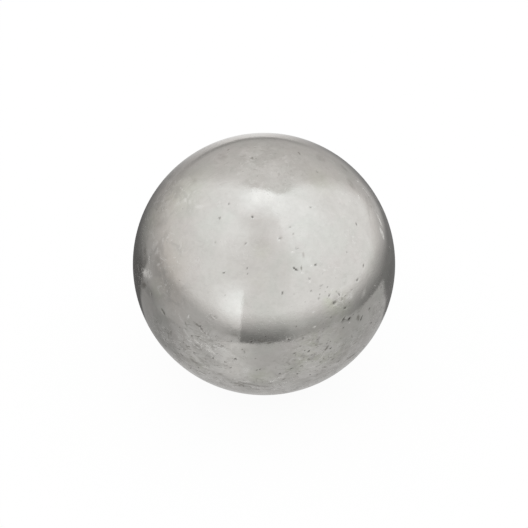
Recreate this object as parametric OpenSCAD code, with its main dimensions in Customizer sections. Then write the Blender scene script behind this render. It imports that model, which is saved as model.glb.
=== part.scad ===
// A solid steel ball, worn dull, with the pits and nicks of long use.
// Millimetres, +Z up, origin at the centre of the ball, its front towards -Y.
// A place on the ball is a bearing and a height, both in degrees: the bearing
// runs round the ball from its front, growing towards +X, and the height is
// counted up from its equator.

/* [Ball] */
// Diameter of the ball
ball_d = 50.8; // [38.1:0.1:76.2]

/* [Pits] */
// Width of a large pit across its mouth
large_pit_w = 0.7; // [0.5:0.05:1]
// Depth of a large pit below the surface of the ball
large_pit_depth = 0.15; // [0.08:0.01:0.2]
// Width of a small pit across its mouth
small_pit_w = 0.45; // [0.3:0.05:0.6]
// Depth of a small pit below the surface of the ball
small_pit_depth = 0.09; // [0.05:0.01:0.14]

/* [Nicks] */
// Length of a nick from end to end
nick_length = 1.6; // [1.2:0.1:2.4]
// Width of a nick at its middle
nick_w = 0.35; // [0.2:0.05:0.5]
// Depth of a nick at its middle
nick_depth = 0.1; // [0.08:0.01:0.18]

/* [Hidden] */

// Radius of the ball
ball_r = ball_d / 2;

// Large pits, each as [bearing, height]
LARGE_PITS = [[38, 4], [35, 5], [31, 14], [59, 39], [9, 45], [-12, -9], [-30, 51]];

// Small pits, each as [bearing, height], thickest on the front's lower right
SMALL_PITS = [
    [29, 18], [36, 10], [35, 1], [50, 3], [45, 19], [24, 18], [21, 22], [13, 22], [8, 23],
    [28, 28], [21, 27], [25, 32], [51, 23], [44, 32], [16, 49], [17, 46], [35, 55], [-8, 54],
    [-28, 58], [-27, 41], [-10, 43], [-19, 30], [-8, 33], [10, 2], [19, -6], [29, -8],
    [12, -15], [7, -18], [-3, -15], [-14, -15], [-22, -11], [-8, -4], [-40, -14], [-47, -6]
];

// Nicks, each as [bearing, height, turn]: the turn lifts the nick's right end
NICKS = [
    [-27, 4, -55], [-47, 3, -50], [-21, 11, -40], [-33, 3, -65], [15, 32, -40], [17, 40, 0],
    [20, 37, 85], [45, 1, 60], [26, 23, 20], [9, -23, 35], [-56, 7, -60], [70, 66, 55]
];

// Facets round the ball, round a pit and round a nick's long and short curves
BALL_FN = 180;
PIT_FN = 24;
NICK_FN = 96;
EDGE_FN = 24;

// How far the ball's surface falls away at a distance a from a point on it
function fall(a) = ball_r - sqrt(ball_r * ball_r - a * a);

// Radius of the circle whose cap is a high-s arc over a chord of half-length a
function arc_r(a, s) = (a * a + s * s) / (2 * s);

// Radius of the round cutter that leaves a hollow 2a across and depth deep
function cutter_r(a, depth) = arc_r(a, depth - fall(a));

// Turns children that stand on the front of the ball to another place on it
module at(bearing, height) {
    rotate([-height, 0, bearing]) children();
}

// A ball-shaped cutter, which leaves a round pit at the front of the ball
module pit_cutter(w, depth) {
    r = cutter_r(w / 2, depth);
    translate([0, -(ball_r - depth + r), 0]) sphere(r = r, $fn = PIT_FN);
}

// A round-edged wheel on edge, which leaves a boat-shaped nick as a grindstone
// would: deepest in the middle and running out to a point at both ends
module nick_cutter(length, w, depth, turn) {
    wheel_r = cutter_r(length / 2, depth);
    edge_r = arc_r(w / 2, depth);
    translate([0, -(ball_r - depth + wheel_r), 0])
        rotate([0, -turn, 0])
            rotate_extrude($fn = NICK_FN)
                translate([wheel_r - edge_r, 0]) circle(r = edge_r, $fn = EDGE_FN);
}

// The ball, with every pit and nick cut into it
module ball() {
    color([0.72, 0.71, 0.68])
        difference() {
            sphere(d = ball_d, $fn = BALL_FN);
            for (p = LARGE_PITS) at(p[0], p[1]) pit_cutter(large_pit_w, large_pit_depth);
            for (p = SMALL_PITS) at(p[0], p[1]) pit_cutter(small_pit_w, small_pit_depth);
            for (n = NICKS) at(n[0], n[1]) nick_cutter(nick_length, nick_w, nick_depth, n[2]);
        }
}

ball();
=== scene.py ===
# %% [markdown]
# # A worn steel ball
#
# The real object is one ball of hard steel, ground round and polished, then used for years. It is no
# longer a clean mirror: it is dull, stained in soft patches, peppered with small rust pits, and scuffed
# where it has rolled. The CAD model already holds the ball at its true size with its largest marks, so
# Blender's work is the skin of the ball, and the light that shows it.
#
# Everything is in metres, with the ball's centre at the origin, +Z up and the front towards -Y.

import bpy
import numpy as np
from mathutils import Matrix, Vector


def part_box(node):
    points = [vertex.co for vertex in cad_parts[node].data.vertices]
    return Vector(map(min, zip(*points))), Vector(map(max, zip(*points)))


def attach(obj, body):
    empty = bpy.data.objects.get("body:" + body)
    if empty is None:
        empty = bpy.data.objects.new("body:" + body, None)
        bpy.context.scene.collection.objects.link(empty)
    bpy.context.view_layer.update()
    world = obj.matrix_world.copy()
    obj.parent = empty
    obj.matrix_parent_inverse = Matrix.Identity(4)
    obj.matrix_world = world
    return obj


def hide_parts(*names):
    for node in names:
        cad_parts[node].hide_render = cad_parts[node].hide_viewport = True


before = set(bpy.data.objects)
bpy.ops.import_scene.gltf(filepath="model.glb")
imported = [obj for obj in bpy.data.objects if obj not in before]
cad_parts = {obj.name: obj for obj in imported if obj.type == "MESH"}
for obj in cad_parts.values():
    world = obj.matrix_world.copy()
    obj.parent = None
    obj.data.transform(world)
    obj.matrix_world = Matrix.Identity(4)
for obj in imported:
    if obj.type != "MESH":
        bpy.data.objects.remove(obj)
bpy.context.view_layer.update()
print("CAD nodes:", *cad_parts)

# The smallest reach of the CAD box, so that the finished ball stays inside it on every side.
BALL_R = float(np.abs(np.array(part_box("ball"))).min())
MM = 0.001
print(f"ball radius {BALL_R / MM:.3f} mm")

# %% [markdown]
# ## The camera
#
# A long lens flattens the ball as a product photographer's would. The camera looks down on the ball from
# the front. Its distance isn't guessed: the outline of a ball is where the line of sight just touches it,
# so the angle of the outline has the ball's radius as its opposite side and the distance as its longest.

# %% Aim the camera
LENS = 100.0           # mm
SENSOR = 36.0          # mm, the width of the picture on the sensor
LOOK_DOWN = 35.0       # degrees
BALL_SHARE = 0.497     # how much of the picture's width the ball fills

outline_angle = np.arctan(BALL_SHARE * SENSOR / 2 / LENS)
camera_distance = BALL_R / np.sin(outline_angle)
tilt = np.radians(LOOK_DOWN)


def put_in_scene(name, data):
    """A new object in the scene, unturned and at the origin."""
    thing = bpy.data.objects.new(name, data)
    bpy.context.scene.collection.objects.link(thing)
    return thing


lens = bpy.data.cameras.new("long_lens")
lens.lens = LENS
lens.sensor_width = SENSOR
camera = put_in_scene("camera", lens)
camera.location = (0.0, -camera_distance * np.cos(tilt), camera_distance * np.sin(tilt))
camera.rotation_euler = (np.pi / 2 - tilt, 0.0, 0.0)
bpy.context.scene.camera = camera
bpy.context.scene.view_settings.view_transform = "Standard"
print(f"camera {camera_distance:.3f} m from the centre of the ball")

# %% [markdown]
# ## Places on the ball
#
# A globe's two angles name any place on the ball: a bearing round it, from its front, and a height above
# its equator. Pits, stains and lights are all placed with them.

# %% Turn bearings and heights into directions
def toward(bearing, height):
    """Unit vectors for bearings and heights in degrees.

    Sideways is cos(height) sin(bearing), forward is cos(height) cos(bearing) towards -Y,
    and up is sin(height).
    """
    b, h = np.broadcast_arrays(np.radians(bearing), np.radians(height))
    return np.stack([np.cos(h) * np.sin(b), -np.cos(h) * np.cos(b), np.sin(h)], axis=-1)


def ramp(x, low, high):
    """0 below low, 1 above high, and the curve 3t^2 - 2t^3 between, which starts and ends level."""
    t = np.clip((x - low) / (high - low), 0.0, 1.0)
    return t * t * (3 - 2 * t)


def hump(x, middle, half_width):
    """1 at the middle, falling smoothly to 0 half a width away on both sides."""
    return ramp(half_width - np.abs(x - middle), 0.0, half_width)


def blend(a, b, share):
    """a where share is 0, b where it is 1."""
    return a + (b - a) * share


print("bearing 90 and height 0 lie towards", toward(90, 0).round(3))

# %% [markdown]
# ## The marks of use
#
# The large pits, small pits and nicks that the CAD ball has are repeated here at the same places and
# sizes. Between them the real ball has hundreds of finer pits, which gather where damp or a hard floor
# has worked on it. Typing in each would be dull, and spreading them evenly would look false, so they are
# scattered round a few centres, thick in the middle and thin outside, with some strays everywhere.
#
# Every mark is the same shape with other numbers: a shallow bowl with an oval mouth. A pit is as wide as
# it is long, and a nick is long and narrow. A rub is a nick with next to no depth, where something has
# slid along the ball: it leaves a streak that is brighter or darker than the steel round it. A few small
# bright ones are painted glints instead: the lit rims of pits, painted into the colour as pale spots.

# %% List the marks that the CAD ball has
LARGE_PITS = [(38, 4), (35, 5), (31, 14), (59, 39), (9, 45), (-12, -9), (-30, 51)]
SMALL_PITS = [
    (29, 18), (36, 10), (35, 1), (50, 3), (45, 19), (24, 18), (21, 22), (13, 22), (8, 23),
    (28, 28), (21, 27), (25, 32), (51, 23), (44, 32), (16, 49), (17, 46), (35, 55), (-8, 54),
    (-28, 58), (-27, 41), (-10, 43), (-19, 30), (-8, 33), (10, 2), (19, -6), (29, -8),
    (12, -15), (7, -18), (-3, -15), (-14, -15), (-22, -11), (-8, -4), (-40, -14), (-47, -6),
]
# Nicks also have a turn: how far their right end is lifted, in degrees.
NICKS = [
    (-27, 4, -55), (-47, 3, -50), (-21, 11, -40), (-33, 3, -65), (15, 32, -40), (17, 40, 0),
    (20, 37, 85), (45, 1, 60), (26, 23, 20), (9, -23, 35), (-56, 7, -60), (70, 66, 55),
]
LARGE_PIT = (0.7 * MM, 0.7 * MM, 0.15 * MM)      # length, width, depth
SMALL_PIT = (0.45 * MM, 0.45 * MM, 0.09 * MM)
NICK = (1.6 * MM, 0.35 * MM, 0.1 * MM)
# How full of dirt each pit and nick is, in the same order: 1 is black.
LARGE_PIT_DIRT = [1.0, 0.8, 0.5, 0.5, 0.4, 0.7, 0.4]
SMALL_PIT_DIRT = [
    0.8, 0.9, 0.4, 0.6, 0.5, 0.4, 0.5, 0.2, 0.7, 0.3, 0.4, 0.7, 0.5, 0.4, 0.3, 0.3, 0.4, 0.8, 0.5, 0.3,
    0.5, 0.6, 0.5, 0.8, 0.8, 0.8, 0.8, 0.6, 0.9, 0.9, 0.7, 0.4, 0.6, 0.6,
]
NICK_DIRT = [0.7, 0.6, 0.6, 0.4, 0.8, 0.4, 0.2, 0.8, 0.3, 0.4, 0.7, 0.3]
print(f"{len(LARGE_PITS)} large pits, {len(SMALL_PITS)} small pits and {len(NICKS)} nicks")

# %% List the rubs and the painted glints
# Each is a bearing and height, a turn, a length and a width in millimetres, and a shade: below 0 is
# darker than the steel round it, and above 0 brighter.
RUBS_AND_GLINTS = [
    (-34, 3, -62, 1.8, 0.35, -0.8), (-29, 5, -25, 2.0, 0.5, -0.9), (-47, 3, -40, 2.0, 0.6, -0.9),
    (-22, 10, -36, 2.4, 0.35, -0.5), (-45, -9, 77, 2.6, 0.4, -0.7), (-43, -6, 80, 2.0, 0.4, -0.7),
    (-29, -6, -15, 1.6, 0.5, -0.7), (-27, -8, 3, 1.6, 0.5, -0.6), (-22, -9, -60, 1.9, 0.4, -0.7),
    (-26, -13, -17, 1.3, 0.5, -0.7), (-20, -22, -24, 1.5, 0.5, -0.6), (-8, -27, -20, 5.0, 0.5, -0.8),
    (-1, -29, -8, 4.6, 0.5, -0.7), (-12, -29, -12, 3.0, 0.6, -0.7), (44, -22, 5, 3.4, 1.0, -1.0),
    (43, 2, -79, 2.0, 1.0, -1.0), (-1, 2, -5, 2.0, 0.5, -0.8), (2, 1, 10, 1.4, 0.5, -0.9),
    (-5, 3, 30, 1.2, 0.4, -0.8), (27, -7, 60, 1.8, 0.6, -1.0), (40, -6, -70, 1.6, 0.4, -0.5),
    (8, -20, 44, 5.4, 0.6, 1.0), (4, -24, 30, 2.2, 0.6, 1.0), (-9, -25, -12, 4.0, 0.6, 0.6),
    (-2, -31, 0, 5.0, 0.7, 0.7), (-6, -33, -5, 4.0, 0.5, -0.7), (14, -30, 12, 3.0, 0.6, 0.6),
    (22, -29, 15, 3.0, 0.5, -0.6), (33, -26, 20, 3.0, 0.6, 0.6), (-22, -30, -25, 4.0, 0.6, 0.6),
    (-30, -26, -30, 3.0, 0.6, -0.6), (-38, -22, -25, 2.6, 0.7, 0.6), (-50, -14, -20, 2.4, 0.7, 0.5),
    (-61, 14, 20, 4.8, 2.6, 0.8), (-64, 12, -20, 1.4, 1.0, 0.9), (-66, 41, -19, 4.0, 1.2, 0.3),
    (-56, 26, -44, 3.0, 0.6, 0.4), (-64, 27, -55, 1.4, 0.6, 0.5), (-75, 42, 60, 5.0, 1.6, 0.4),
    (-69, 34, 50, 3.0, 1.4, -0.3), (-65, 47, 60, 2.6, 1.4, 0.4), (-82, 69, 30, 3.0, 1.2, -0.3),
    (-73, 58, 20, 3.0, 1.4, -0.3), (77, 45, 20, 2.0, 0.5, 0.8), (89, 40, 60, 3.0, 1.0, 0.5),
    (80, 30, 70, 4.0, 0.9, 0.9), (75, 26, 75, 3.6, 1.6, 0.9), (70, 63, 20, 3.0, 2.2, -0.2),
    (96, 75, 10, 1.6, 0.5, -0.8), (-46, 83, 0, 1.0, 0.7, -1.0), (79, 14, 0, 0.5, 0.5, -0.9),
    (48, -25, 0, 3.6, 0.4, -0.9), (74, 37, 34, 7.0, 1.2, -0.3), (34, -17, 15, 8.0, 3.2, -0.4),
    (-33, 7, 70, 1.6, 0.6, 0.7), (-10, 37, 40, 2.4, 2.0, -0.15), (-27, -16, -45, 4.0, 1.8, -0.5),
    (-32, -18, -30, 3.0, 1.2, -0.5), (-12, 4, -10, 2.0, 1.0, -0.5), (-12, -28, -10, 4.0, 0.8, -0.5),
    (-7, -13, 0, 2.4, 1.4, 0.2), (-63, 20, -51, 3.0, 0.5, 0.8), (-63, 7, 40, 3.4, 1.4, -1.0),
    (-23, -7, -20, 2.2, 0.9, 0.9), (-29, -4, -20, 2.4, 0.8, 0.6), (-27, -1, 60, 2.2, 0.7, 0.6),
    (-8, -16, 60, 3.0, 1.8, 0.6), (-13, -7, -52, 2.0, 0.6, 0.8), (-97, 44, 30, 6.0, 0.6, 0.3),
    (-25, -6, -20, 6.0, 3.6, 0.45), (-36, -20, -25, 9.0, 4.0, -0.3), (-22, -14, -10, 6.0, 3.0, -0.4),
    (-37, 5, -50, 2.4, 0.7, 0.6), (12, -9, 45, 2.6, 0.7, 0.5), (19, -6, 70, 2.2, 0.7, 0.6),
    (25, -12, 50, 2.6, 0.6, 0.6), (33, -8, 75, 2.0, 0.6, 0.6), (48, -8, 70, 1.8, 0.6, 0.5),
    (38, 22, 80, 3.0, 1.6, -0.3), (60, 30, 70, 4.0, 1.2, 0.4), (-48, 52, 30, 3.0, 0.9, 0.5),
    (71, 85, -45, 1.2, 0.4, -0.5), (-17, 77, 0, 1.2, 0.3, -0.5), (-90, 72, 20, 4.0, 2.4, -0.35),
    (-108, 74, 0, 0.5, 0.5, -0.9), (-56, 83, 0, 0.6, 0.4, 0.9), (99, 65, 0, 4.0, 3.0, -0.35),
    (99, 53, 40, 3.0, 1.6, -0.5), (83, 50, 40, 4.0, 2.4, -0.4), (93, 46, 0, 0.8, 0.6, 0.9),
    (90, 43, 20, 0.8, 0.5, 0.9), (85, 72, 0, 2.0, 1.6, 0.2), (100, 59, 30, 3.0, 0.7, 0.4),
    (39, 14, 30, 3.0, 2.0, 0.6), (44, 6, 34, 2.6, 1.2, -0.35), (-14, 2, -5, 5.0, 2.0, 0.35),
    (-8, -3, 0, 2.6, 1.6, -0.3), (19, 2, 0, 2.6, 1.8, 0.3), (-76, 55, 20, 4.0, 2.4, 0.25),
    (-49, 22, -50, 4.0, 2.0, 0.25), (-46, 11, -50, 3.0, 2.0, 0.3), (31, 14, 0, 1.4, 1.2, -0.4),
    (-68, 20, -45, 5.0, 1.8, -0.6), (18, 32, 87, 1.2, 0.4, -0.9), (130, 40, 20, 5.0, 0.6, 0.6),
    # From (15, 39) to (38, 2), the small bright rows round the pits near the middle are painted glints:
    # the lit rims of pits, painted in as pale spots.
    (165, 20, -30, 6.0, 0.7, -0.6), (-150, 10, 40, 5.0, 0.6, 0.6), (15, 39, 0, 1.2, 0.4, 0.8),
    (18, 30, 0, 0.6, 0.5, 0.9), (23, 32, 0, 0.5, 0.5, 0.9), (21, 26, 0, 0.7, 0.5, 0.9),
    (29, 29, 0, 0.6, 0.6, 0.9), (38, 22, 0, 1.0, 0.8, 0.6), (31, 20, 0, 0.6, 0.5, 0.9),
    (34, 16, 0, 0.6, 0.5, 0.9), (21, 13, 0, 0.6, 0.5, 0.9), (21, 6, 30, 0.7, 0.5, 0.9),
    (38, 2, 0, 0.5, 0.5, 0.9), (47, 12, 40, 3.0, 1.6, 0.4), (32, 16, 20, 2.6, 1.8, -0.3),
    (100, 0, -60, 4.0, 0.6, -0.6), (-110, -10, 30, 5.0, 0.8, 0.5), (150, -20, 10, 6.0, 0.6, -0.7),
]
RUB_AND_GLINT_DEPTH = 0.004 * MM
print(f"{len(RUBS_AND_GLINTS)} rubs")

# %% Scatter the finer pits
# Each swarm is a bearing and height for its middle, its spread sideways and upwards in degrees, how many
# pits it holds, and how full of dirt the fullest is. Above 1, most of its pits are full.
SWARMS = [
    (30, 17, 7, 7, 26, 0.8), (36, 2, 7, 5, 18, 1.0), (22, -8, 12, 8, 46, 0.9), (-22, -8, 14, 7, 50, 0.9),
    (-1, 2, 4, 0.6, 12, 3.0), (2, -26, 22, 6, 40, 0.9), (55, 10, 9, 10, 14, 0.8), (-48, -4, 8, 8, 18, 0.9),
    (95, -22, 20, 14, 34, 0.9), (150, 8, 16, 16, 34, 0.9), (-120, -14, 22, 12, 34, 0.9),
    (-165, 36, 18, 12, 20, 0.9),
]
STRAYS = 80
STRAY_DIRT = 0.8
FINE_PIT_LENGTH = (0.14 * MM, 0.36 * MM)   # from the finest to the widest

chance = np.random.default_rng(11)
swarm_places = np.concatenate([
    chance.normal((bearing, height), (side, rise), (count, 2))
    for bearing, height, side, rise, count, _ in SWARMS
])
stray_places = np.stack(
    [chance.uniform(-180, 180, STRAYS), np.degrees(np.arcsin(chance.uniform(-1, 1, STRAYS)))], axis=1
)
fine_places = np.concatenate([swarm_places, stray_places])
fine_count = len(fine_places)
# Squaring an even draw makes most pits fine and a few wide.
fine_length = FINE_PIT_LENGTH[0] + np.ptp(FINE_PIT_LENGTH) * chance.uniform(0, 1, fine_count) ** 2
fine_width = fine_length * chance.uniform(0.45, 1.0, fine_count)
fine_depth = fine_width * chance.uniform(0.07, 0.14, fine_count)
fine_turn = chance.normal(0, 30, fine_count)
counts = [swarm[4] for swarm in SWARMS]
fullest = np.concatenate([np.repeat([swarm[5] for swarm in SWARMS], counts), np.full(STRAYS, STRAY_DIRT)])
fine_dirt = np.minimum(fullest * chance.uniform(0, 1, fine_count), 1.0)
print(f"{fine_count} fine pits: {sum(counts)} in {len(SWARMS)} swarms, and {STRAYS} strays")

# %% Gather every mark into one table
def mark_rows(places, size, turns=0.0):
    """One row a mark: bearing, height, turn, length, width, depth."""
    places = np.asarray(places, float)
    rows = np.empty((len(places), 6))
    rows[:, 0:2] = places[:, 0:2]
    rows[:, 2] = turns
    rows[:, 3:6] = size
    return rows


nicks = np.array(NICKS, float)
rubs_and_glints = np.array(RUBS_AND_GLINTS, float)
rub_and_glint_size = np.stack([rubs_and_glints[:, 3] * MM, rubs_and_glints[:, 4] * MM, np.full(len(rubs_and_glints), RUB_AND_GLINT_DEPTH)], axis=1)
marks = np.concatenate([
    mark_rows(LARGE_PITS, LARGE_PIT),
    mark_rows(SMALL_PITS, SMALL_PIT),
    mark_rows(nicks, NICK, nicks[:, 2]),
    mark_rows(fine_places, np.stack([fine_length, fine_width, fine_depth], axis=1), fine_turn),
    mark_rows(rubs_and_glints, rub_and_glint_size, rubs_and_glints[:, 2]),
])
mark_middle = toward(marks[:, 0], marks[:, 1])
# A quarter turn on in bearing is sideways, and a quarter turn up in height is upwards along the skin.
east = toward(marks[:, 0] + 90, 0.0)
north = toward(marks[:, 0], marks[:, 1] + 90)
turn = np.radians(marks[:, 2])[:, None]
mark_along = np.cos(turn) * east + np.sin(turn) * north
mark_across = np.cross(mark_middle, mark_along)
mark_dirt = np.concatenate([LARGE_PIT_DIRT, SMALL_PIT_DIRT, NICK_DIRT, fine_dirt, np.zeros(len(rubs_and_glints))])
mark_shade = np.concatenate([np.zeros(len(marks) - len(rubs_and_glints)), rubs_and_glints[:, 5]])
print(f"{len(marks)} marks in all")

# %% [markdown]
# ## The ball's surface
#
# The usual ball of rings and spokes crowds its faces at two poles. A cube swelled into a ball has no
# poles and nearly equal faces, so a pit is as sharp wherever it falls. The six sides share their edge
# points, which are merged, so the skin is closed.

# %% Make the grid
STEPS = 128     # faces along one side of the cube


def swelled_cube(steps):
    """Points on a ball of radius 1, and its faces as four point numbers each.

    On each side of the cube, two angles a and b run from -45 to 45 degrees. The point there is
    (tan a, tan b, 1) in that side's own axes, divided by its length.
    """
    angle = np.radians(np.linspace(-45, 45, steps + 1))
    a, b = np.meshgrid(np.tan(angle), np.tan(angle), indexing="ij")
    side = np.stack([a, b, np.ones_like(a)], axis=-1).reshape(-1, 3)
    side /= np.linalg.norm(side, axis=1, keepdims=True)
    number = np.arange((steps + 1) ** 2).reshape(steps + 1, steps + 1)
    quad = np.stack([number[:-1, :-1], number[1:, :-1], number[1:, 1:], number[:-1, 1:]], axis=-1)
    quad = quad.reshape(-1, 4)
    # Each side's axes: right, up and outwards, with right x up = outwards.
    x, y, z = np.eye(3)
    axes = [(y, z, x), (z, y, -x), (z, x, y), (x, z, -y), (x, y, z), (y, x, -z)]
    points = np.concatenate([side @ np.array(frame_of_side) for frame_of_side in axes])
    faces = np.concatenate([quad + k * len(side) for k in range(len(axes))])
    _, first, merged = np.unique(np.round(points, 6), axis=0, return_index=True, return_inverse=True)
    return points[first], merged.reshape(-1)[faces]


skin, faces = swelled_cube(STEPS)
print(f"{len(skin)} points, {2 * len(faces)} triangles")

# %% [markdown]
# Even so, a face is 0.3 mm wide, and many pits are no wider. More faces everywhere would make the mesh
# heavy, so the grid is drawn in towards each mark instead, as if the skin were elastic: points gather in
# the pit, and the faces around it stretch a little.

# %% Draw the grid in towards the marks
REACH = 0.9 * MM / BALL_R      # how far past a mark's mouth the grid is drawn from, in radians
PULL = 0.72                    # the share of its distance that a point near the middle moves
DRAWN_WIDTH = 1.0 * MM         # a mark at least as wide as this has points enough


def near(points, k, along, across):
    """Numbers of the points within an oval round mark k, and their places in it.

    The places are distances along and across the mark, in radians. The oval's half-sizes are along
    and across too.
    """
    found = np.flatnonzero(points @ mark_middle[k] > np.cos(max(along, across)))
    s = points[found] @ mark_along[k]
    t = points[found] @ mark_across[k]
    inside = (s / along) ** 2 + (t / across) ** 2 < 1
    return found[inside], s[inside], t[inside]


def draw_in(points):
    """Moves points towards each mark, by PULL times (1 - q^2)^2, with q 0 at the mark and 1 at its reach.

    That never folds the grid: the steepest part of the move spreads the points by less than it gathers
    them in the middle.
    """
    points = points.copy()
    half = marks[:, 3:5] / 2 / BALL_R
    for k in np.flatnonzero(marks[:, 4] < DRAWN_WIDTH):
        along, across = half[k] + REACH
        found, s, t = near(points, k, along, across)
        fall = (1 - (s / along) ** 2 - (t / across) ** 2) ** 2
        # A long mark needs its points drawn in less along its length.
        pull_s = PULL * half[k, 1] / half[k, 0]
        points[found] -= (pull_s * fall * s)[:, None] * mark_along[k]
        points[found] -= (PULL * fall * t)[:, None] * mark_across[k]
        points[found] /= np.linalg.norm(points[found], axis=1, keepdims=True)
    return points


skin = draw_in(skin)
spacing = np.linalg.norm(skin[faces[:, 0]] - skin[faces[:, 1]], axis=1) * BALL_R / MM
print(f"neighbouring points lie {spacing.min():.2f} to {spacing.max():.2f} mm apart")

# %% Sink the marks and note where dirt, rubs and painted glints lie
ROUNDED = 3.2      # how softly a mark's lip runs out: at 1 it would be a sharp edge


def carve(points):
    """Depth of the skin below the true ball at each point, dirt from 0 to 1, and rub from -1 to 1.

    In an oval bowl of half-length a and half-width b, q^2 = (s/a)^2 + (t/b)^2, and the depth is the
    full depth times (1 - q^2)^ROUNDED. The fuller of dirt it is, the nearer to the lip the dirt reaches.
    """
    depth = np.zeros(len(points))
    dirt = np.zeros(len(points))
    rub_and_glint = np.zeros(len(points))
    half = marks[:, 3:5] / 2 / BALL_R
    for k in range(len(marks)):
        found, s, t = near(points, k, *half[k])
        q2 = (s / half[k, 0]) ** 2 + (t / half[k, 1]) ** 2
        depth[found] = np.maximum(depth[found], marks[k, 5] * (1 - q2) ** ROUNDED)
        full = mark_dirt[k]
        dirt[found] = np.maximum(dirt[found], full * ramp(-q2, -0.2 - 0.7 * full, -0.05 - 0.3 * full))
        # This field holds the rubs and also the painted glints, the pale spots that stand for lit pit
        # rims.
        rub_and_glint[found] += mark_shade[k] * ramp(-q2, -1.0, -0.1)
    return depth, dirt, np.clip(rub_and_glint, -1, 1)


depth, dirt, rub_and_glint = carve(skin)
print(f"deepest mark {depth.max() / MM:.3f} mm")

# %% [markdown]
# ## Wear that has no edge
#
# Three kinds of wear are fields over the whole ball. Scuffs are patches frosted by rolling on grit, thick
# low on the front and thin elsewhere. Tarnish is a warm film, stronger on the left and towards the back.
# Oil has dried in a few places to a thin yellow-green skin. Each is a sum of round soft spots, kept with
# the mesh as an attribute that the material reads.

# %% Spread scuffs, tarnish and oil
# Each spot is a bearing and height for its middle, its radius in degrees, and its strength.
SCUFFS = [
    (-24, -8, 24, 0.9), (-48, -14, 26, 0.7), (22, -10, 26, 0.8), (0, -38, 34, 0.9), (34, 12, 14, 0.4),
    (-72, 12, 26, 0.5), (-40, -35, 30, 0.8), (45, -30, 34, 0.9), (58, -6, 24, 0.6), (100, -20, 40, 0.7),
    (160, 0, 40, 0.6), (-120, -20, 45, 0.7), (-130, 50, 32, 0.5), (175, 48, 34, 0.5), (0, -80, 40, 0.8),
    (90, 38, 26, 0.4), (0, 84, 38, 0.4), (-85, 40, 26, 0.4),
]
TARNISH = [
    (-50, 24, 20, 0.7), (-42, 12, 14, 0.5), (-70, 44, 26, 0.5), (-72, 10, 18, 0.5), (-95, 35, 30, 0.5),
    (180, 60, 40, 0.4), (120, 10, 40, 0.6), (-120, 20, 45, 0.6), (60, 50, 24, 0.2), (0, -75, 45, 0.6),
]
OIL = [
    (24, -4, 15, 0.8), (16, -12, 12, 0.7), (30, -12, 12, 0.7), (33, 12, 10, 0.9), (29, 16, 5, 1.0),
    (-1, -20, 9, 0.9), (-31, -18, 7, 0.9), (-52, 11, 7, 0.7), (-1, 40, 6, 0.4), (-2, 28, 6, 0.3),
    (-70, 52, 18, 0.5), (-80, 30, 14, 0.6), (62, 62, 10, 0.5), (150, -10, 24, 0.7), (-160, 30, 20, 0.6),
]


def soft_spots(points, spots):
    """The spots joined smoothly: 1 - the product of (1 - strength times a ramp down to the radius)."""
    clear = np.ones(len(points))
    for bearing, height, radius, strength in spots:
        away = np.degrees(np.arccos(np.clip(points @ toward(bearing, height), -1, 1)))
        clear *= 1 - strength * ramp(-away, -radius, 0.0)
    return 1 - clear


scuff = soft_spots(skin, SCUFFS)
tarnish = soft_spots(skin, TARNISH)
oil = soft_spots(skin, OIL)
print(f"on average {scuff.mean():.2f} scuffed, {tarnish.mean():.2f} tarnished, {oil.mean():.2f} oiled")

# %% [markdown]
# ## The ball as a mesh
#
# The arrays become one mesh, shaded smooth, and each field of wear goes along as an attribute with one
# number a point. The new ball rides on the CAD body and stands for the CAD ball, which is hidden.

# %% Make the mesh
def solid_mesh(name, points, polygons):
    """A mesh of these points and polygons, shaded smooth."""
    mesh = bpy.data.meshes.new(name)
    mesh.from_pydata(points, [], polygons)
    mesh.shade_smooth()
    mesh.update()
    return mesh


ball_mesh = solid_mesh("worn_ball", skin * (BALL_R - depth)[:, None], faces)
for name, field in (("dirt", dirt), ("rub_and_glint", rub_and_glint), ("scuff", scuff), ("tarnish", tarnish), ("oil", oil)):
    kept = ball_mesh.attributes.new(name, "FLOAT", "POINT")
    kept.data.foreach_set("value", field.astype(np.float32))
ball = put_in_scene("worn_ball", ball_mesh)
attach(ball, "root")
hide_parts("ball")
print(f"{ball.name}: {len(ball_mesh.vertices)} points")

# %% [markdown]
# ## Building blocks for materials
#
# A material is a chain of small steps. These helpers make one step each, so that the cells below read as
# recipes.

# %% Helpers for nodes
def fill(tree, socket, value):
    """Links another node's output to a socket, or sets the socket to a number or colour."""
    if isinstance(value, bpy.types.NodeSocket):
        tree.links.new(value, socket)
    else:
        socket.default_value = value


def add(tree, kind, inputs=None, **settings):
    """Adds a node, sets its settings, then fills its inputs."""
    node = tree.nodes.new(kind)
    for name, value in settings.items():
        setattr(node, name, value)
    for name, value in (inputs or {}).items():
        fill(tree, node.inputs[name], value)
    return node


def calculate(tree, operation, *values):
    """One step of arithmetic, giving its result."""
    return add(tree, "ShaderNodeMath", dict(enumerate(values)), operation=operation).outputs[0]


def stretch(tree, value, low, high, new_low=0.0, new_high=1.0):
    """Turns low..high smoothly into new_low..new_high."""
    inputs = {"Value": value, "From Min": low, "From Max": high, "To Min": new_low, "To Max": new_high}
    return add(tree, "ShaderNodeMapRange", inputs, interpolation_type="SMOOTHSTEP").outputs["Result"]


def mix_colours(tree, share, a, b):
    """Colour a where share is 0 and b where it is 1."""
    node = add(tree, "ShaderNodeMix", data_type="RGBA")
    # The node has sockets of the same name for other kinds of data, so they are told by identifier.
    sockets = {socket.identifier: socket for socket in node.inputs}
    for name, value in (("Factor_Float", share), ("A_Color", a), ("B_Color", b)):
        fill(tree, sockets[name], value)
    return next(socket for socket in node.outputs if socket.identifier == "Result_Color")


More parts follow.
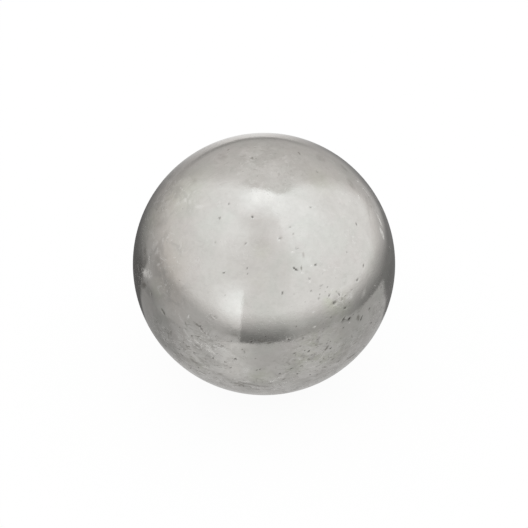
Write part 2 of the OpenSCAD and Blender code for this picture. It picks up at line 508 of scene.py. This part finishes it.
def new_group(name, vectors, numbers):
    """A node group with these inputs and the output Mask: the group, its inputs and that output."""
    group = bpy.data.node_groups.new(name, "ShaderNodeTree")
    for label in vectors:
        group.interface.new_socket(label, in_out="INPUT", socket_type="NodeSocketVector")
    for label in numbers:
        group.interface.new_socket(label, in_out="INPUT", socket_type="NodeSocketFloat")
    group.interface.new_socket("Mask", in_out="OUTPUT", socket_type="NodeSocketFloat")
    given = group.nodes.new("NodeGroupInput").outputs
    return group, given, group.nodes.new("NodeGroupOutput").inputs["Mask"]


def use_group(tree, group, inputs):
    """Puts a group into a material with its own values, giving its mask."""
    return add(tree, "ShaderNodeGroup", inputs, node_tree=group).outputs[0]


def new_material(name):
    """A material with no nodes yet, and its node tree."""
    material = bpy.data.materials.new(name)
    material.use_nodes = True
    material.node_tree.nodes.clear()
    return material, material.node_tree

# %% [markdown]
# ## Clouds, flecks, hairlines and specks
#
# Four effects are used again and again with other values, so each is a node group that gives a mask.
#
# **Clouds** are plain soft noise with a chosen contrast. **Flecks** are noise that has been stretched so
# that it runs round the ball, as wear from rolling does, and then cut off high, so that only short
# separate dashes stay. **Hairlines** are stretched much more, each set in its own direction. **Specks**
# are the middles of the cells of a Voronoi pattern, of which only some are kept.

# %% Group: clouds
def make_clouds():
    """Soft patches from 0 to 1. Noise below From gives 0 and above To gives 1."""
    group, given, mask = new_group("clouds", ["Place"], ["Per metre", "From", "To"])
    noise = add(group, "ShaderNodeTexNoise", {
        "Vector": given["Place"], "Scale": given["Per metre"],
        "Detail": 4.0, "Roughness": 0.55, "Distortion": 0.5,
    })
    group.links.new(stretch(group, noise.outputs["Fac"], given["From"], given["To"]), mask)
    return group


clouds = make_clouds()
print(f"{clouds.name}: {len(clouds.nodes)} nodes")

# %% Group: flecks
def make_flecks():
    """Short dashes that run round the ball.

    Level distances are divided by Stretch before the noise is read, so that its blobs come out longer
    that way.
    """
    group, given, mask = new_group("flecks", ["Place"], ["Stretch", "Per metre", "From", "To"])
    level = calculate(group, "DIVIDE", 1.0, given["Stretch"])
    scales = add(group, "ShaderNodeCombineXYZ", {"X": level, "Y": level, "Z": 1.0}).outputs["Vector"]
    squeezed = add(group, "ShaderNodeVectorMath", {0: given["Place"], 1: scales}, operation="MULTIPLY")
    noise = add(group, "ShaderNodeTexNoise", {
        "Vector": squeezed.outputs["Vector"], "Scale": given["Per metre"],
        "Detail": 3.0, "Roughness": 0.6, "Distortion": 1.6,
    })
    group.links.new(stretch(group, noise.outputs["Fac"], given["From"], given["To"]), mask)
    return group


flecks = make_flecks()
print(f"{flecks.name}: {len(flecks.nodes)} nodes")

# %% Group: hairlines
def make_hairlines():
    """Fine scratches that all run one way, broken into stretches by a slower noise."""
    group, given, mask = new_group("hairlines", ["Place", "Turn"], ["Per metre", "From"])
    turned = add(group, "ShaderNodeVectorRotate", {
        "Vector": given["Place"], "Rotation": given["Turn"],
    }, rotation_type="EULER_XYZ").outputs["Vector"]
    squeezed = add(group, "ShaderNodeVectorMath", {0: turned, 1: (1.0, 0.04, 1.0)}, operation="MULTIPLY")
    strands = add(group, "ShaderNodeTexNoise", {
        "Vector": squeezed.outputs["Vector"], "Scale": given["Per metre"], "Detail": 1.0,
    }).outputs["Fac"]
    full = calculate(group, "ADD", given["From"], 0.05)
    ridge = stretch(group, strands, given["From"], full)
    breaks = add(group, "ShaderNodeTexNoise", {"Vector": turned, "Scale": 160.0, "Detail": 1.0})
    kept = stretch(group, breaks.outputs["Fac"], 0.5, 0.6)
    group.links.new(calculate(group, "MULTIPLY", ridge, kept), mask)
    return group


hairlines = make_hairlines()
print(f"{hairlines.name}: {len(hairlines.nodes)} nodes")

# %% Group: specks
def make_specks():
    """Small round dots: each cell of the pattern holds one or none, of its own size."""
    group, given, mask = new_group("specks", ["Place"], ["Per metre", "Share", "Size"])
    cells = add(group, "ShaderNodeTexVoronoi", {"Vector": given["Place"], "Scale": given["Per metre"]})
    draw = add(group, "ShaderNodeSeparateColor", {"Color": cells.outputs["Color"]})
    kept = calculate(group, "LESS_THAN", draw.outputs["Red"], given["Share"])
    size = calculate(group, "MULTIPLY", given["Size"], draw.outputs["Green"])
    inside = calculate(group, "SUBTRACT", size, cells.outputs["Distance"])
    dot = stretch(group, inside, 0.0, 0.08)
    group.links.new(calculate(group, "MULTIPLY", dot, kept), mask)
    return group


specks = make_specks()
print(f"{specks.name}: {len(specks.nodes)} nodes")

# %% [markdown]
# ## The steel
#
# Bare steel is a warm grey mirror: fully metallic, with the colour of its reflection as its base colour.
# Everything else is change over the surface. Stains tint it, scuffs and hairlines roughen it, and pits
# hold black dirt that is no mirror at all.
#
# The finish is a stack of layers, from the polish up. A layer is a mask from 0 to 1, and a colour that is
# laid over the layers below by that mask. The masks set the gloss and the relief afterwards, so that a
# fleck's colour, its gloss and its dent lie in the same place.

# %% Start the steel
STEEL = (0.655, 0.642, 0.614, 1.0)
SMUDGE = (0.480, 0.472, 0.450, 1.0)
FROST = (0.850, 0.842, 0.818, 1.0)
GRIME = (0.270, 0.258, 0.232, 1.0)

worn_steel = bpy.data.materials.new("worn_steel")
worn_steel.use_nodes = True
steel = worn_steel.node_tree
shader = steel.nodes["Principled BSDF"]
place = add(steel, "ShaderNodeTexCoord").outputs["Object"]
print(f"{worn_steel.name} starts with {len(steel.nodes)} nodes")

# %% Steps used again and again on the steel
def read_field(name):
    """A number kept on the mesh."""
    return add(steel, "ShaderNodeAttribute", attribute_name=name).outputs["Fac"]


def cloud(per_metre, low, high):
    """Clouds: 0 where the noise is below low, 1 where it is above high."""
    return use_group(steel, clouds, {"Place": place, "Per metre": per_metre, "From": low, "To": high})


def fleck(run, per_metre, low, high):
    """Flecks that are about run times as long as they are high."""
    return use_group(steel, flecks, {
        "Place": place, "Stretch": run, "Per metre": per_metre, "From": low, "To": high,
    })


def hairline(angles, per_metre, low):
    """Hairlines turned by these angles, in radians."""
    settings = {"Place": place, "Turn": angles, "Per metre": per_metre, "From": low}
    return use_group(steel, hairlines, settings)


def times(a, b):
    """Two masks, or a mask and a number, multiplied."""
    return calculate(steel, "MULTIPLY", a, b)


def lift(mask, least, most=1.0):
    """The mask with its 0 turned smoothly into least and its 1 into most."""
    return stretch(steel, mask, 0.0, 1.0, least, most)


def over(share, above, below):
    """One colour laid over another: only above where share is 1, only below where it is 0."""
    return mix_colours(steel, share, below, above)

# %% [markdown]
# ## Stains and film
#
# Old oil and finger marks have tinted the steel in wide patches, greenish and pink. On the tarnished side
# a thin film has grown, clouded dark in places and worn pale in others. All of it is thinner than paint,
# so it only tints the mirror.

# %% Layers: stains and film
GREEN_STAIN = (0.620, 0.635, 0.595, 1.0)
PINK_STAIN = (0.665, 0.635, 0.615, 1.0)
WARM_STAIN = (0.650, 0.610, 0.560, 1.0)
OIL_SKIN = (0.615, 0.630, 0.545, 1.0)

tarnished = read_field("tarnish")
colour = over(times(cloud(130.0, 0.45, 0.65), 0.55), GREEN_STAIN, STEEL)
colour = over(times(cloud(175.0, 0.50, 0.70), 0.55), PINK_STAIN, colour)
colour = over(times(tarnished, cloud(90.0, 0.25, 0.65)), WARM_STAIN, colour)
colour = over(times(read_field("oil"), cloud(330.0, 0.30, 0.55)), OIL_SKIN, colour)

# A faint mottling everywhere.
colour = over(times(cloud(620.0, 0.35, 0.65), 0.15), SMUDGE, colour)
colour = over(times(cloud(1300.0, 0.40, 0.60), 0.08), FROST, colour)

film = stretch(steel, tarnished, 0.0, 0.6)
film_dark = times(cloud(330.0, 0.48, 0.62), film)
film_pale = times(fleck(1.4, 520.0, 0.55, 0.68), film)
colour = over(times(film_dark, 0.55), SMUDGE, colour)
colour = over(times(film_pale, 0.65), FROST, colour)
print(f"{len(steel.nodes)} nodes with the stains")

# %% [markdown]
# ## Scuffs and flecks
#
# Rolling on grit frosts the steel: seen close, it is a crowd of tiny dents, too many to list. So the
# field of scuffs says where, and noise says how. Pale and dark patches carry a fine grain, and over them
# lie the flecks, which are shallow dents, frosted inside or filled with grime.

# %% Layers: scuffs
worn = stretch(steel, read_field("scuff"), 0.0, 0.85)
a_little = lift(worn, 0.10)
smudges = times(cloud(420.0, 0.50, 0.68), a_little)
patch = times(cloud(300.0, 0.46, 0.60), worn)
grain = cloud(2400.0, 0.35, 0.65)
smears = times(fleck(1.6, 460.0, 0.55, 0.70), a_little)
colour = over(times(smudges, 0.65), SMUDGE, colour)
colour = over(times(smears, 0.65), SMUDGE, colour)
colour = over(times(patch, 0.50), FROST, colour)
colour = over(times(times(grain, patch), 0.45), FROST, colour)
colour = over(times(times(grain, a_little), 0.22), SMUDGE, colour)
print(f"{len(steel.nodes)} nodes with the scuffs")

# %% Layers: flecks
pale = times(fleck(1.8, 1000.0, 0.54, 0.66), lift(cloud(230.0, 0.38, 0.60), 0.2))
pale = times(pale, a_little)
dark = times(fleck(2.2, 1100.0, 0.57, 0.66), lift(cloud(260.0, 0.40, 0.60), 0.3))
dark = times(dark, a_little)
colour = over(times(pale, 0.85), FROST, colour)
colour = over(times(dark, 0.75), GRIME, colour)
print(f"{len(steel.nodes)} nodes with the flecks")

# %% [markdown]
# ## Scratches, rubs, painted glints and dirt
#
# Hairlines are thinner than the mesh can hold, so they are noise drawn out in three directions. Wisps are
# softer and paler ones. The rubs and the painted glints were listed above, and a grain breaks them up,
# as no real streak is even. Dirt comes last, because it fills the pits and hides the steel.

# %% Layers: scratches
scratch = hairline((0.3, 0.2, 0.9), 5200.0, 0.66)
for angles, per_metre in (((1.2, -0.5, 0.1), 4300.0), ((-0.4, 0.9, 2.1), 6000.0)):
    scratch = calculate(steel, "MAXIMUM", scratch, hairline(angles, per_metre, 0.67))
scratch = times(scratch, lift(worn, 0.25))
wisps = times(hairline((0.9, 0.1, 0.5), 3400.0, 0.62), lift(cloud(200.0, 0.45, 0.60), 0.0))
colour = over(times(scratch, 0.25), GRIME, colour)
colour = over(times(wisps, 0.30), FROST, colour)
print(f"{len(steel.nodes)} nodes with the scratches")

# %% Layers: rubs, painted glints and dirt
DIRT = (0.045, 0.040, 0.034, 1.0)

rub_and_glint_shade = read_field("rub_and_glint")
broken = lift(cloud(1500.0, 0.30, 0.60), 0.4)
bright_rub_and_glint = times(stretch(steel, rub_and_glint_shade, 0.0, 1.0), broken)
dark_rub = times(stretch(steel, rub_and_glint_shade, 0.0, -1.0), broken)
# Bright rubs lay frost over the steel; the small ones by the pits are painted glints, their lit rims.
colour = over(times(bright_rub_and_glint, 0.80), FROST, colour)
colour = over(times(dark_rub, 0.85), GRIME, colour)

# The finest pits are dots in the material alone.
dots = use_group(steel, specks, {"Place": place, "Per metre": 1300.0, "Share": 0.14, "Size": 0.30})
dots = times(dots, lift(worn, 0.05, 0.9))
filled = calculate(steel, "MAXIMUM", read_field("dirt"), times(dots, 0.8))
colour = over(filled, DIRT, colour)
steel.links.new(colour, shader.inputs["Base Color"])
print(f"{len(steel.nodes)} nodes with the rubs and the dirt")

# %% [markdown]
# ## Gloss and relief
#
# Where the steel is still polished its roughness is low, and it mirrors the room with a slight blur. Each
# layer adds its own roughness to that. The relief is a bump of a few hundredths of a millimetre: enough
# for the sides of a fleck to catch another part of the room, and too fine to be worth faces in the mesh.

# %% Gloss and relief of the steel
ROUGHENED = [
    (film_dark, 0.05), (film_pale, 0.10), (smudges, 0.05), (smears, 0.05), (patch, 0.06), (pale, 0.35),
    (dark, 0.10), (scratch, 0.10), (wisps, 0.25), (bright_rub_and_glint, 0.50), (dark_rub, 0.15), (filled, 0.5),
]
RAISED = [(pale, 0.25), (dark, -0.35), (scratch, -0.3), (dots, -0.7), (grain, 0.04)]
RELIEF = 0.03 * MM     # height of a mask raised by 1

rough = lift(cloud(700.0, 0.35, 0.70), 0.070, 0.105)
for mask, more in ROUGHENED:
    rough = calculate(steel, "ADD", rough, times(mask, more))
steel.links.new(rough, shader.inputs["Roughness"])
shader.inputs["Metallic"].default_value = 1.0

relief = times(cloud(500.0, 0.2, 0.8), 0.22)
for mask, height in RAISED:
    relief = calculate(steel, "ADD", relief, times(mask, height))
bump = add(steel, "ShaderNodeBump", {"Strength": 1.0, "Distance": RELIEF, "Height": relief})
steel.links.new(bump.outputs["Normal"], shader.inputs["Normal"])
ball_mesh.materials.append(worn_steel)
print(f"{worn_steel.name}: {len(steel.nodes)} nodes")

# %% [markdown]
# ## The floor
#
# A pale floor, level with the lowest point of the ball. The camera sees mostly plain white, with a share
# of the real light on the floor so that the ball's soft shadow stays. Mirror and glass rays see the white
# as well.

# %% Lay the floor
FLOOR_REACH = 100 * BALL_R     # from its middle to each side
WHITE = 1.02                   # strength at which the floor is plain white, with a little to spare
WHITE_SHARE = 0.92             # how much of what the camera sees is plain white, and not lit floor


def make_floor_white():
    """Matt white, mostly replaced by plain white for the rays that see the background."""
    material, tree = new_material("floor_white")
    rays = add(tree, "ShaderNodeLightPath")
    seen = calculate(tree, "MAXIMUM", rays.outputs["Is Camera Ray"], rays.outputs["Is Glossy Ray"])
    seen = calculate(tree, "MAXIMUM", seen, rays.outputs["Is Transmission Ray"])
    matt = add(tree, "ShaderNodeBsdfDiffuse", {"Color": (0.8, 0.8, 0.8, 1.0)})
    white = add(tree, "ShaderNodeEmission", {"Strength": WHITE})
    share = calculate(tree, "MULTIPLY", seen, WHITE_SHARE)
    mixed = add(tree, "ShaderNodeMixShader", {0: share, 1: matt.outputs[0], 2: white.outputs[0]})
    add(tree, "ShaderNodeOutputMaterial", {"Surface": mixed.outputs[0]})
    return material


square = [(-1, -1), (1, -1), (1, 1), (-1, 1)]
corners = [(x * FLOOR_REACH, y * FLOOR_REACH, -BALL_R) for x, y in square]
floor = put_in_scene("floor", solid_mesh("floor", corners, [(0, 1, 2, 3)]))
floor.data.materials.append(make_floor_white())
print(f"floor {2 * FLOOR_REACH:.1f} m wide, {BALL_R / MM:.1f} mm below the centre of the ball")

# %% [markdown]
# ## The light tent
#
# A polished ball has almost no look of its own: it shows the room. So the room is modelled with care: a
# white tent round a small round table, open behind the camera, with a dark gap between the table's rim
# and the tent's walls. Only mirror rays see it, as a photographer's tent stays outside the picture.
#
# Its shape is one profile carried round the ball: from under the ball, out along the table and the floor,
# and then up and over in a dome. Its light is a function of bearing and height, kept as a colour at each
# point.

# %% Shape the tent
TENT_R = 8 * BALL_R
TENT_LIFT = 0.001 * BALL_R    # how far its floor lies above the plain floor
NEAR_POLE = np.radians(89.9)  # straight up or down, all points of a row would meet in one
AROUND = 720
FLOOR_ROWS = 200
DOME_ROWS = 240


def tent_profile():
    """Distances out and heights up, from the foot of the ball along the floor and over the dome."""
    floor_z = TENT_LIFT - BALL_R
    edge_angle = np.arcsin(floor_z / TENT_R)
    # Even steps of the angle seen from the ball's centre, not of distance.
    down = np.linspace(-NEAR_POLE, edge_angle, FLOOR_ROWS)
    out_on_floor = floor_z / np.tan(down)
    up = np.linspace(edge_angle, NEAR_POLE, DOME_ROWS)[1:]
    out = np.concatenate([out_on_floor, TENT_R * np.cos(up)])
    rise = np.concatenate([np.full_like(down, floor_z), TENT_R * np.sin(up)])
    return out, rise


print(f"{AROUND} profiles of {len(tent_profile()[0])} points each")

# %% [markdown]
# ## The light of the tent
#
# A real tent glows unevenly: brighter near its lamps, dimmer in its folds, dark where it is open. Each
# part gets a function of its own, which is a plain level with soft steps (ramps) and soft spots (humps)
# added. Where two parts meet, one gives way to the other across a ramp. That is worked out for all points
# at once, and a number moves a fold.

# %% Light of the sides
SEAM = -16.3        # the bearing at which two cloths meet in front
SEAM_SOFT = 0.3     # half the width over which one gives way to the other, in degrees
# Soft patches of light and shade: each is a bearing and half its width, a height and half its own, and
# the light that it adds.
SIDE_PATCHES = [
    (40, 10, 32, 12, 0.05), (42, 30, 64, 14, -0.04), (-118, 28, 10, 20, -0.05), (-124, 18, 28, 14, 0.07),
    (0, 28, 40, 18, -0.04), (-4, 28, 54, 13, -0.16), (-16, 56, 68, 12, -0.15),
]


def past_seam(bearing):
    """0 left of the seam, 1 right of it."""
    return ramp(bearing, SEAM - SEAM_SOFT, SEAM + SEAM_SOFT)


def patches(bearing, height, rows):
    """The light of all patches: for each, a hump along the bearing times a hump along the height."""
    return sum(more * hump(bearing, b, half_b) * hump(height, h, half_h)
               for b, half_b, h, half_h, more in rows)


def side_light(bearing, height):
    """Light of the cloth on both sides and in front, 1 being white paper in full light."""
    left = ramp(-bearing, 20, 120)
    # The opening in front is dark, and reaches further right higher up.
    opening_end = 14 + 15 * ramp(height, 8, 34)
    right = ramp(bearing, opening_end - 9, opening_end + 9)
    front = (1 - ramp(-bearing, 14, 50)) * (1 - right)

    # It grows brighter upwards.
    light = 0.98 + 0.12 * ramp(height, 30, 66) + 0.08 * ramp(height, 68, 79)
    light += 0.06 * right * ramp(height, 16, 30)
    light += patches(bearing, height, SIDE_PATCHES)
    light -= 0.08 * left * hump(height, 58, 22)
    light -= 0.07 * ramp(bearing, 80, 110) * ramp(height, 22, 46) * (1 - ramp(height, 70, 80))
    # The left side is shaded low down, and the right one only far back.
    light -= left * (0.20 * (1 - ramp(height, 18, 52)) + 0.36 * (1 - ramp(height, -12, 22)))
    light -= 0.40 * ramp(bearing, 92, 126) * (1 - ramp(height, -9, 12))
    return light - 0.08 * front


def strip_light(bearing, height):
    """Extra light beside the seam: a strip that glows on its left, and a little on its right."""
    right = past_seam(bearing)
    strip = 0.36 * ramp(bearing, -46, -16) * (1 - right) * (1 - ramp(height, 3, 24))
    return strip + 0.07 * hump(bearing, -15, 8) * right * hump(height, 12, 11)


print(f"cloth on the right, level with the ball: {side_light(90, 0):.2f}")

# %% Light of the back and the roof
def back_light(bearing, height):
    """Light of the back, in half shade, with a fold of shadow just above the table."""
    light = 0.42 + 0.14 * ramp(height, 5, 20) + 0.12 * ramp(height, 18, 36) + 0.12 * ramp(height, 42, 68)
    lamp = 0.14 * hump(bearing, 135, 22) + 0.07 * hump(bearing, 158, 24)
    light += lamp * (1 - 0.75 * ramp(height, 8, 60))
    light -= 0.05 * ramp(bearing, 120, 150) * hump(height, 32, 28)
    light -= 0.03 * ramp(-bearing, 90, 125) * (1 - ramp(-bearing, 132, 150))
    return light - 0.10 * hump(height, 9.5, 5) * ramp(np.abs(bearing - 8), 150, 170)


def roof_light(bearing, height):
    """Light of the roof, the brightest part, growing towards its middle from both sides first."""
    sideways = ramp(np.abs(bearing), 30, 100) * (1 - 0.8 * ramp(np.abs(bearing), 150, 170))
    return 1.08 + 0.19 * ramp(height, 76, 88) + 0.12 * sideways * (1 - ramp(height, 84, 90))


def cloth_light(bearing, height):
    """Light of the whole tent above the table."""
    side = side_light(bearing, height) + strip_light(bearing, height)
    # The back's right corner is sharp and leans in near the roof, and its left one is a soft fold.
    low = 1 - ramp(height, 8, 30)
    corner = 126 + 5 * (1 - ramp(height, 20, 50)) - 16 * ramp(height, 60, 80)
    behind = ramp(bearing, corner - 8, corner + 8)
    behind = np.maximum(behind, ramp(-bearing, 118 - 14 * low, 148 + 12 * low))
    light = blend(side, back_light(bearing, height), behind)
    # A crease stands in the soft fold.
    crease = ramp(bearing, -141, -138) - 0.4
    light += 0.12 * crease * hump(bearing, -139, 11) * hump(height, 14, 14)
    # The roof's edge is crisp behind the ball, and melts away towards the sides.
    left_edge = 77.5 + 4.7 * ramp(-bearing, 136, 172)
    right_edge = 80 + 2.5 * ramp(bearing, 112, 140)
    edge = np.where(bearing < 0, left_edge, right_edge)
    soft = 4 - 3 * ramp(np.abs(bearing), 110, 165)
    return blend(light, roof_light(bearing, height), ramp(height, edge - 0.4 * soft, edge + 0.8 * soft))


print(f"back {back_light(180, 30):.2f}, roof {roof_light(0, 88):.2f}")

# %% Light of the table and the gap round it
def gap_light(bearing, height):
    """Light of the gap between the table's rim and the foot of the tent."""
    front = 0.215 + 0.225 * ramp(bearing, 8, 26) * (1 - ramp(bearing, 45, 92))
    front = front - 0.04 * ramp(bearing, 100, 115) * ramp(-height, 17, 22)
    left = blend(0.52, 0.44, ramp(-bearing, 55, 85))
    left = left - 0.16 * ramp(-bearing, 72, 98) * ramp(-height, 14, 20)
    left = left - 0.12 * hump(bearing, -19, 14) * hump(height, -18, 4)
    light = blend(left, front, past_seam(bearing))
    return blend(light, 0.12, ramp(-bearing, 106, 111))


def table_light(bearing, height):
    """Light of the table's top, brightest under the strip beside the seam."""
    strip = hump(bearing, -20, 18) * (1 - 0.25 * ramp(-height, 26, 33)) * (1 - ramp(-height, 43, 50))
    light = 0.55 + 0.21 * strip
    light += 0.05 * hump(bearing, 27, 12) * (1 - ramp(-height, 32, 40))
    light += -0.22 * ramp(-bearing, 45, 80) - 0.09 * ramp(bearing, 32, 72)
    return blend(light, 0.52, ramp(-height, 42, 52))


print(f"gap {gap_light(60, -15):.2f}, table {table_light(0, -40):.2f}")

# %% Join the light
# At each bearing, the height at which the gap begins to give way to lit cloth, and that at which the
# cloth is fully lit.
FOOT_OF_CLOTH = [
    (-180, -22, 4), (-150, -22, 4), (-130, -20, 0), (-111, -18, -7), (-105, -5, 5), (-95, -5, 6),
    (-70, -8, 2), (-50, -14, -1), (-30, -18, -4), (-17, -20, -5), (-16, -22, -3), (10, -22, -3),
    (40, -18, -1), (80, -18, 0), (100, -18, 2), (110, -17, 0), (122, -15, -7), (142, -13.5, -8),
    (155, -16, 2), (180, -20, 6),
]

TABLE_MIDDLE = 0.35     # how far right of the ball and behind it, in ball radii
TABLE_R = 2.75          # in ball radii too
RIM = 0.03              # half the width over which the table's light ends at its rim


def tent_light(bearing, height, across, back):
    """Light of the whole tent.

    Bearing and height are degrees seen from the ball's centre, and across and back are places on the
    floor, in ball radii to the right and behind.
    """
    turns, dark_below, lit_above = np.array(FOOT_OF_CLOTH, float).T
    lit = ramp(height, np.interp(bearing, turns, dark_below), np.interp(bearing, turns, lit_above))
    light = blend(gap_light(bearing, height), cloth_light(bearing, height), lit)

    # The round table, straight at the back, and all of the floor close to the ball.
    out = np.hypot(across, back)
    from_middle = np.hypot(across - TABLE_MIDDLE, back - TABLE_MIDDLE)
    round_to = np.abs(bearing + 1) - 3.5 * ramp(-height, 23, 30)
    on_table = (1 - ramp(from_middle, TABLE_R - RIM, TABLE_R + RIM)) * (1 - ramp(round_to, 102, 107))
    on_table = np.maximum(on_table, 1 - ramp(out, 1.2, 1.4)) * (height < 0)
    light = blend(light, table_light(bearing, height), on_table)
    # Right under the ball its own shadow lies.
    light *= blend(1.0, 0.35, on_table * ramp(-out, -0.45, -0.05))

    # White cloth lies behind the table.
    cloth = np.where(bearing < 0, ramp(-bearing, 150, 178), ramp(bearing, 164, 182))
    cloth = cloth * (1 - ramp(height, 3.5, 7)) * (1 - ramp(-height, 25, 35))
    return blend(light, 0.84, cloth)


def tent_colour(light, height):
    """Red, green and blue: cloth in half shade is a little warm, and the brightest a little cool."""
    warm = np.clip((1 - light) / 0.3, -0.6, 1.0) * (0.5 + 0.5 * ramp(height, -15, 5))
    return light[:, None] * (1 + warm[:, None] * np.array([0.028, 0.0, -0.016]))


print(f"light straight ahead, 30 degrees up: {tent_light(0, 30, 0, -5):.2f}")

# %% Make the tent
def make_tent():
    """The tent as one mesh with its light in a colour attribute."""
    out, rise = tent_profile()
    b, o = np.meshgrid(np.radians(np.arange(AROUND) * 360 / AROUND - 180), out, indexing="ij")
    z = np.broadcast_to(rise, o.shape)
    points = np.stack([o * np.sin(b), -o * np.cos(b), z], axis=-1).reshape(-1, 3)
    rows = len(out)
    number = np.arange(AROUND * rows).reshape(AROUND, rows)
    after = np.roll(number, -1, axis=0)
    quads = np.stack([number[:, :-1], number[:, 1:], after[:, 1:], after[:, :-1]], axis=-1).reshape(-1, 4)
    length = np.linalg.norm(points, axis=1)
    bearing = np.degrees(np.arctan2(points[:, 0], -points[:, 1]))
    height = np.degrees(np.arcsin(points[:, 2] / length))
    light = tent_light(bearing, height, points[:, 0] / BALL_R, points[:, 1] / BALL_R)
    mesh = solid_mesh("tent", points, quads)
    colours = mesh.attributes.new("tent_light", "FLOAT_COLOR", "POINT")
    rgba = np.ones((len(points), 4), np.float32)
    rgba[:, :3] = tent_colour(light, height)
    colours.data.foreach_set("color", rgba.ravel())
    print(f"tent of {len(points)} points, its light from {light.min():.2f} to {light.max():.2f}")
    return mesh


def make_glow():
    """Shines with the colour kept at each point."""
    material, tree = new_material("tent_glow")
    colour = add(tree, "ShaderNodeAttribute", attribute_name="tent_light").outputs["Color"]
    glow = add(tree, "ShaderNodeEmission", {"Color": colour})
    add(tree, "ShaderNodeOutputMaterial", {"Surface": glow.outputs[0]})
    # The tent is met by mirror rays only, so it is never searched for as a lamp.
    material.cycles.emission_sampling = "NONE"
    return material


tent = put_in_scene("tent", make_tent())
tent.data.materials.append(make_glow())
tent.visible_camera = False
tent.visible_diffuse = False
tent.visible_shadow = False
tent.visible_transmission = False

# %% [markdown]
# ## Light on the floor
#
# An even white sky lights the floor, and the rays that see the background get plain white from it.

# %% Light the world
world = bpy.data.worlds.new("white_room")
world.use_nodes = True
world.node_tree.nodes.clear()
sky = add(world.node_tree, "ShaderNodeBackground", {"Color": (1.0, 1.0, 1.0, 1.0), "Strength": 1.0})
add(world.node_tree, "ShaderNodeOutputWorld", {"Surface": sky.outputs[0]})
bpy.context.scene.world = world
print(f"world: {world.name}")
